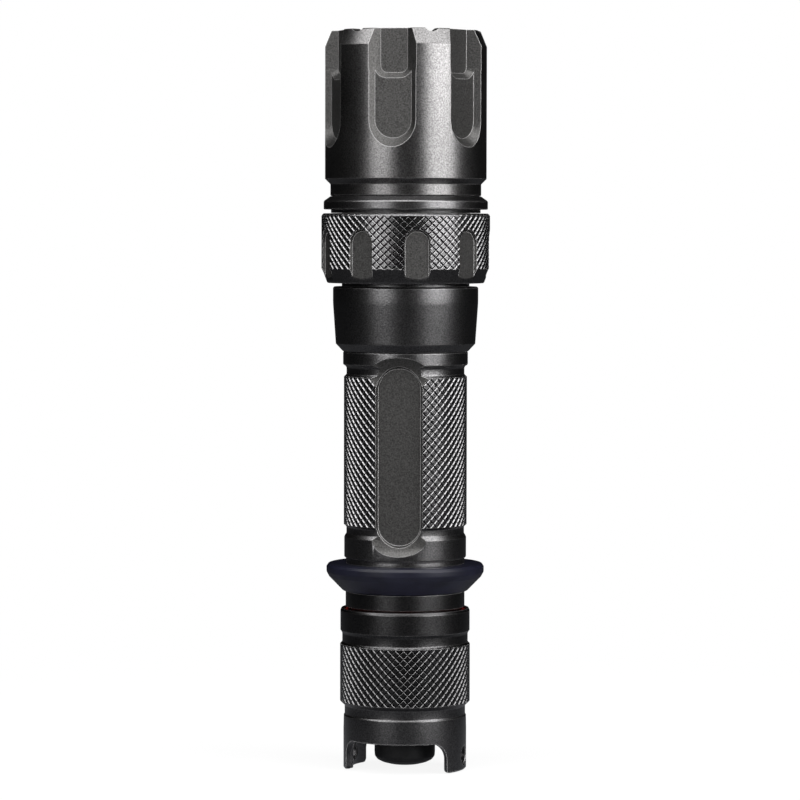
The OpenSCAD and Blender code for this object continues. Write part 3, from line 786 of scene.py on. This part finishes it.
# ---------------------------------------------------------------- tailcap
R_CAP = radius("tailcap_housing")
cap = lathe("tailcap_housing_shell", profile(
    [(6.45, 6.3, 0.15), (10.9, 6.3, 0.25), (10.9, 0.2, 0.05), (11.1, 0.0, 0.05), (12.5, 0.0, 0.08),
     (12.75, 0.25, 0.08), (12.76, 8.4, 0), (12.7, 11.05, 0.12), (12.52, 11.35, 0.1), (12.52, 13.15, 0.2),
     (13.3, 13.87, 0.05)],
    {"rows": knurl_rows(R_CAP, 14.1, 25.9, 7)},
    [(13.2, 26.15, 0.05), (13.03, 26.4, 0.15), (13.03, 28.15, 0.25), (13.2, 28.5, 0.1), (13.42, 28.8, 0.12),
     (13.42, 32.86, 0.08), (13.2, Z_CAP - 0.04, 0.08), (13.12, Z_CAP, 0.03), (12.82, Z_CAP, 0.03),
     (12.68, 33.3, 0.03), (12.68, 31.55, 0)],
    list(reversed(threads(11.62, 12.03, 21.6, 9))),
    [(11.62, 20.3, 0.05), (10.3, 20.3, 0.05), (10.3, 8.3, 0.2), (6.45, 8.3, 0.1)]), 51 * 6)


LUG_END = 0.75  # edge radius at the free end of each lug
SIDE = 21  # points along each side of the cutout outline


def cutout_rings():
    """Thumb cutout through the skirt, with a small chamfer where it leaves each wall."""
    rings = []
    reach = 58 - math.degrees(math.asin(3.4 / 12.75))
    for r, grow in ((8.0, 0.5), (10.52, 0.5), (11.02, 0.0), (12.6, 0.0), (14.2, 1.6)):
        corner = 3.4 + grow
        ring = []
        for side in (-1, 1):
            path = [(corner + LUG_END, -1.0 - grow)] + [
                (corner + LUG_END * (1 - math.sin(math.radians(a))),
                 LUG_END * (1 - math.cos(math.radians(a))))
                for a in (0, 22.5, 45, 67.5, 90)] + [
                (corner * math.cos(math.radians(a)), 2.8 + corner * math.sin(math.radians(a)))
                for a in np.linspace(0, 90, 15)]
            c, s = math.cos(math.radians(side * reach)), math.sin(math.radians(side * reach))
            pts = [(r * c - side * y * s, r * s + side * y * c, z) for y, z in path]
            ring += pts if side < 0 else list(reversed(pts))
            if side < 0:
                for a in np.linspace(-reach, reach, 41)[1:-1]:
                    ring.append((r * math.cos(math.radians(a)), r * math.sin(math.radians(a)), 6.2 + grow))
        for a in np.linspace(reach, -reach, 41)[1:-1]:
            ring.append((r * math.cos(math.radians(a)), r * math.sin(math.radians(a)), -1.0 - grow))
        rings.append(ring)
    return rings


def flared_hole(r, z, x_in, x_out, chamfer=0.15):
    """Stations of a cross bore between two wall radii, chamfered at both ends."""
    stations = ((x_in - 2.0, r + chamfer + 0.6), (x_in - 0.6, r + chamfer + 0.6), (x_in + chamfer, r),
                (x_out - chamfer - 0.12, r), (x_out + 1.5, r + 1.6))
    return [[(x, y, zz) for y, zz in arc(0, z, rr, 0, 352.5, 47)] for x, rr in stations]


carve(cap, [
    around("c8", cutout_rings(), [-98.5, 81.5],
           [(SIDE + i, SIDE + 1 + i, 2 * SIDE + 76 - i, 2 * SIDE + 77 - i) for i in range(38)]
           + [(2 * SIDE + 77, k, k + 1) for k in range(SIDE)]
           + [(2 * SIDE + 39, k, k + 1) for k in range(SIDE + 38, 2 * SIDE + 38)]),
    around("c9", flared_hole(1.87, 3.0, 10.75, 12.75), [-8.5, 171.5]),
])
finish_piece(cap, "tailcap", KNURL, "anodised_body", "tailcap_housing")

# ---------------------------------------------------------------- boot
boot = lathe("switch_boot", fillet([
    (0, 0.7), (1.6, 0.72, 0), (3.2, 0.9, 1.5), (4.7, 1.3, 1.5), (5.7, 1.8, 1.0), (6.22, 2.5, 0.6),
    (6.3, 3.4, 0.4), (6.3, 8.25, 0.1), (9.9, 8.34, 0.1), (9.9, 9.5, 0.3), (6.0, 9.5, 0.6), (5.2, 8.7, 0.6),
    (5.2, 3.16, 0.6), (0, 3.16)], 0.1, 6), 192)
smooth(boot, 60)
boot.data.materials.append(BLACK)
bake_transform(boot)
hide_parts("boot_cap", "boot_rim")


# ---------------------------------------------------------------- springs
def spring(name, r0, r1, z0, z1, wire, turns, dead=0.75, per_turn=40, around_wire=14,
           along="z", at=(0, 0, 0)):
    """Coil with closed end turns."""
    n = int(turns * per_turn)
    step = 2.15 * wire
    live = turns - 2 * dead
    verts, faces = [], []
    for i in range(n + 1):
        t = i / n
        u = t * turns
        if u < dead:
            z = u * step
        elif u > turns - dead:
            z = abs(z1 - z0) - (turns - u) * step
        else:
            z = dead * step + (u - dead) / live * (abs(z1 - z0) - 2 * dead * step)
        r = r0 + (r1 - r0) * t
        a = 2 * math.pi * u
        for k in range(around_wire):
            b = 2 * math.pi * k / around_wire
            rr = r + wire * math.cos(b)
            p = (rr * math.cos(a), rr * math.sin(a), z0 + z + wire * math.sin(b))
            if along == "y":
                p = (-p[1], p[2], p[0])
                p = (p[0] + at[0], p[1] + at[1], p[2] + at[2])
            verts.append(tuple(c * MM for c in p))
    m = around_wire
    for i in range(n):
        for k in range(m):
            q = (k + 1) % m
            faces.append((i * m + k, i * m + q, (i + 1) * m + q, (i + 1) * m + k))
    faces.append(tuple(range(m - 1, -1, -1)))
    faces.append(tuple(n * m + k for k in range(m)))
    return clean(add_mesh(name, verts, faces))


s = spring("driver_contact_spring_coil", 2.3, 4.6, 90.07, 97.02, 0.4, 5)
finish_piece(s, "light_body", GOLD, "gold_spring", "driver_contact_spring", angle=60)
s = spring("tail_spring_coil", 5.2, 3.0, 18.32, 22.15, 0.42, 4)
finish_piece(s, "tailcap", GOLD, "gold_spring", "tail_spring", angle=60)
s = spring("detent_spring_coil", 0.62, 0.62, 0.12, 3.52, 0.11, 6, along="y", at=(0, 8.2, 107.3))
finish_piece(s, "light_body", STEEL, "spring_steel", "detent_spring", angle=60)
s = spring("switch_spring_coil", 1.7, 1.7, 13.24, 15.26, 0.2, 3.5, 0.5)
finish_piece(s, "tailcap", STEEL, "spring_steel", "switch_spring", angle=60)
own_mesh(s)


# ---------------------------------------------------------------- optics
def mirror_z(r):
    """Height of the reflector's parabola at radius r."""
    return 111.55 + r * r / 5.8


steps = 48
inner = [(3.2 + 9.3 * k / steps, mirror_z(3.2 + 9.3 * k / steps)) for k in range(steps + 1)]
outer = [(r + 0.72, z - 0.35) for r, z in reversed(inner) if 113.4 < z - 0.35 < 137.3]
rim = [(12.5, 138.6), (13.1, 138.6), (13.2, 138.5), (13.2, 137.7), (13.1, 137.6)]
reflector = lathe("reflector_cup", inner + rim + outer + [(3.95, 113.3), (3.2, 113.3)], 256)
finish_piece(reflector, "light_body", MIRROR, "reflector_mirror", "reflector", angle=40)

lens = lathe("front_lens_glass", fillet([
    (0, 138.68), (12.85, 138.68, 0.08), (13.1, 138.93, 0.08), (13.1, 140.62, 0.08), (12.85, 140.87, 0.08),
    (0, 140.87)], 0.08, 3), 256)
finish_piece(lens, "light_body", LENS, "lens_glass", "front_lens", angle=40)


def box_mesh(name, lo, hi, edge=0.08):
    """Box with rounded edges."""
    bm = bmesh.new()
    bmesh.ops.create_cube(bm, size=1.0)
    for v in bm.verts:
        v.co = Vector(((v.co.x + 0.5) * (hi[0] - lo[0]) + lo[0], (v.co.y + 0.5) * (hi[1] - lo[1]) + lo[1],
                       (v.co.z + 0.5) * (hi[2] - lo[2]) + lo[2])) * MM
    bmesh.ops.bevel(bm, geom=bm.edges[:], offset=edge * MM, segments=2, profile=0.5, affect="EDGES")
    mesh = bpy.data.meshes.new(name)
    bm.to_mesh(mesh)
    bm.free()
    obj = bpy.data.objects.new(name, mesh)
    bpy.context.scene.collection.objects.link(obj)
    return obj


def join(name, objs, materials):
    """Joins meshes into one, one material slot per entry of materials."""
    verts, faces, index = [], [], []
    for obj, m in zip(objs, materials):
        start = len(verts)
        verts += [tuple(v.co) for v in obj.data.vertices]
        for p in obj.data.polygons:
            faces.append(tuple(start + k for k in p.vertices))
            index.append(m)
        bpy.data.objects.remove(obj)
    mesh = bpy.data.meshes.new(name)
    mesh.from_pydata(verts, [], faces)
    kinds = []
    for m in materials:
        if m not in kinds:
            kinds.append(m)
            mesh.materials.append(m)
    mesh.polygons.foreach_set("material_index", [kinds.index(m) for m in index])
    obj = bpy.data.objects.new(name, mesh)
    bpy.context.scene.collection.objects.link(obj)
    return smooth(obj, 35)


dome = lathe("d", fillet([(0, 113.02), (2.15, 113.02, 0.1)] + [
    (2.15 * math.cos(a), 113.02 + 2.03 * math.sin(a), 0) for a in np.linspace(0.15, math.pi / 2 - 0.03, 14)]
    + [(0, 115.05)], 0.0), 64)
led = join("led_emitter_package", [
    box_mesh("a", (-2.5, -2.5, 112.22), (2.5, 2.5, 112.9), 0.1),
    box_mesh("b", (-1.15, -1.15, 112.88), (1.15, 1.15, 113.01), 0.03),
    dome], [WHITE, PHOSPHOR, LENS])
attach(led, "light_body", "led_phosphor", "led_emitter")

# ---------------------------------------------------------------- O-rings
def torus(name, r, section, z, segs=192, sides=20):
    """O-ring of centre radius r and the given section radius."""
    turns = [2 * math.pi * k / sides for k in range(sides)]
    pts = [(r + section * math.cos(a), z + section * math.sin(a)) for a in turns]
    return lathe(name, pts, segs)


for name, node, r, section, z, material, slot in (
    ("tail_o_ring_red", "tail_o_ring", 12.08, 0.56, 32.62, RED, "red_rubber"),
    ("head_o_ring_black", "head_o_ring", 11.5, 0.46, 87.6, BLACK, "black_rubber"),
    ("bezel_o_ring_black", "bezel_o_ring", 12.8, 0.44, 119.75, BLACK, "black_rubber"),
    ("lens_o_ring_black", "lens_o_ring", 12.65, 0.5, 141.4, BLACK, "black_rubber"),
):
    finish_piece(torus(name, r, section, z), "light_body", material, slot, node, angle=80)
seals = join("ring_seal_pair", [torus("a", 12.8, 0.44, 103.4), torus("b", 12.8, 0.44, 113.3)],
             [BLACK, BLACK])
attach(seals, "light_body", "black_rubber", "ring_seals")

# ---------------------------------------------------------------- carried-over CAD nodes
CARRIED = {
    "led_centering_gasket": WHITE, "led_board": COPPER, "led_pill": ALU, "led_leads": LEAD,
    "driver_board": BOARD, "driver_components": DARK, "driver_retaining_ring": BRASS,
    "thrust_washer": WHITE, "selector_magnet": NICKEL, "snap_ring": STEEL, "detent_ball": NICKEL,
    "cell_can": NICKEL, "cell_sleeve": WRAP, "cell_top_insulator": WHITE, "cell_button": NICKEL,
    "boot_clamp_ring": ALU, "switch_body": DARK, "switch_plunger": REDP, "switch_board": BOARD,
    "switch_retaining_ring": BRASS,
}
for name, material in CARRIED.items():
    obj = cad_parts[name]
    obj.data.materials.clear()
    obj.data.materials.append(material)
    weld = obj.modifiers.new("weld", "WELD")
    weld.merge_threshold = 1e-6

# ---------------------------------------------------------------- stage
AZIMUTH = 6.5  # camera's angle from the front, degrees
DISTANCE = 0.7806  # camera's distance from the axis, metres
HEIGHT = 0.1133  # camera's height, metres
TILT = 2.70  # camera's look down, degrees
ROLL = -0.107  # camera's roll, degrees
LENS_MM = 169.7  # focal length on the 36 mm sensor
SHIFT = -0.0071875  # sideways lens shift, share of the frame width
FLOOR_Z = -0.0002  # just under the lugs, so that the two never fight
FLOOR_REACH = 9  # from the axis to the floor's edge, metres


def direction(az, el=0.0):
    """Unit vector from the axis at an angle right of the front and up from level."""
    a, e = math.radians(az), math.radians(el)
    return Vector((math.sin(a) * math.cos(e), -math.cos(a) * math.cos(e), math.sin(e)))


def softbox(name, az, el, distance, width, height, power, target=(0, 0, 0.076)):
    """Soft rectangular light at an angle from the camera's side of the object."""
    data = bpy.data.lights.new(name, "AREA")
    data.shape = "RECTANGLE"
    data.size, data.size_y = width, height
    data.energy = power
    obj = bpy.data.objects.new(name, data)
    bpy.context.scene.collection.objects.link(obj)
    obj.location = Vector(target) + direction(AZIMUTH + az, el) * distance
    obj.rotation_euler = (Vector(target) - obj.location).to_track_quat("-Z", "Y").to_euler()
    obj.visible_camera = False
    return obj


softbox("key_right", 51, 0, 0.9, 0.66, 0.34, 7.0, target=(0, 0, 0.295))
softbox("fill_left", -36, 0, 0.9, 0.46, 0.4, 2.5, target=(0, 0, 0.28))
softbox("top_soft", 0, 65, 0.8, 2.4, 0.6, 22)

# The floor is plain white to the camera and clear from below; in reflections it shows a dim painted pool of
# light, brightest near the axis.
floor_mat, tree, shader = nodes_of("stage_floor")
tree.links.new(ramp(tree, noise(tree, 6, 2.0), [(0.3, 0.90), (0.7, 0.93)]), shader.inputs["Base Color"])
shader.inputs["Roughness"].default_value = 0.9
glow = tree.nodes.new("ShaderNodeEmission")
glow.inputs["Strength"].default_value = 1.0
ray = tree.nodes.new("ShaderNodeLightPath")
pick = tree.nodes.new("ShaderNodeMixShader")
reach = tree.nodes.new("ShaderNodeVectorMath")
reach.operation = "LENGTH"
tree.links.new(position(tree), reach.inputs[0])
fade = ramp(tree, reach.outputs["Value"], [(0.02, 0.9), (0.2, 1.0)])
tree.links.new(math_node(tree, "MULTIPLY", ray.outputs["Is Camera Ray"], fade), pick.inputs[0])
tree.links.new(shader.outputs["BSDF"], pick.inputs[1])
tree.links.new(glow.outputs["Emission"], pick.inputs[2])
# Painted reflection: glossy rays see the floor glow, strongest by the axis and fading outwards.
painted_pool_glow = tree.nodes.new("ShaderNodeEmission")
painted_pool_glow.inputs["Color"].default_value = (0.92, 0.94, 1.0, 1)
falloff = [(0.0, 0.22), (0.06, 0.2), (0.1, 0.13), (0.2, 0.08), (0.4, 0.05), (0.8, 0.02)]
tree.links.new(ramp(tree, reach.outputs["Value"], falloff), painted_pool_glow.inputs["Strength"])
sheen = tree.nodes.new("ShaderNodeMixShader")
tree.links.new(ray.outputs["Is Glossy Ray"], sheen.inputs[0])
tree.links.new(pick.outputs["Shader"], sheen.inputs[1])
tree.links.new(painted_pool_glow.outputs["Emission"], sheen.inputs[2])
side = tree.nodes.new("ShaderNodeNewGeometry")
clear = tree.nodes.new("ShaderNodeBsdfTransparent")
below = tree.nodes.new("ShaderNodeMixShader")
tree.links.new(side.outputs["Backfacing"], below.inputs[0])
tree.links.new(sheen.outputs["Shader"], below.inputs[1])
tree.links.new(clear.outputs["BSDF"], below.inputs[2])
floor_out = next(n for n in tree.nodes if n.type == "OUTPUT_MATERIAL")
tree.links.new(below.outputs["Shader"], floor_out.inputs["Surface"])
corners = [(FLOOR_REACH * x, FLOOR_REACH * y, FLOOR_Z) for x, y in ((-1, -1), (1, -1), (1, 1), (-1, 1))]
floor = add_mesh("studio_floor", corners, [(0, 1, 2, 3)])
floor.data.materials.append(floor_mat)

# The world is white to the camera and nearly dark to everything else.
world = bpy.data.worlds.new("studio")
bpy.context.scene.world = world
world.use_nodes = True
wt = world.node_tree
wt.nodes.clear()
wout = wt.nodes.new("ShaderNodeOutputWorld")
path = wt.nodes.new("ShaderNodeLightPath")
seen = wt.nodes.new("ShaderNodeBackground")
seen.inputs["Color"].default_value = (1, 1, 1, 1)
seen.inputs["Strength"].default_value = 1.0
dim = wt.nodes.new("ShaderNodeBackground")
dim.inputs["Color"].default_value = (1, 1, 1, 1)
dim.inputs["Strength"].default_value = 0.003
blend_shader = wt.nodes.new("ShaderNodeMixShader")
wt.links.new(path.outputs["Is Camera Ray"], blend_shader.inputs[0])
wt.links.new(dim.outputs[0], blend_shader.inputs[1])
wt.links.new(seen.outputs[0], blend_shader.inputs[2])
wt.links.new(blend_shader.outputs[0], wout.inputs["Surface"])

cam_data = bpy.data.cameras.new("camera")
cam = bpy.data.objects.new("camera", cam_data)
bpy.context.scene.collection.objects.link(cam)
cam.location = direction(AZIMUTH) * DISTANCE + Vector((0, 0, HEIGHT))
cam.rotation_euler = (math.radians(90 - TILT), math.radians(ROLL), math.radians(AZIMUTH))
cam_data.lens = LENS_MM
cam_data.sensor_width = 36
cam_data.shift_x = SHIFT
cam_data.clip_start = 0.05
bpy.context.scene.camera = cam
bpy.context.scene.view_settings.view_transform = "Standard"
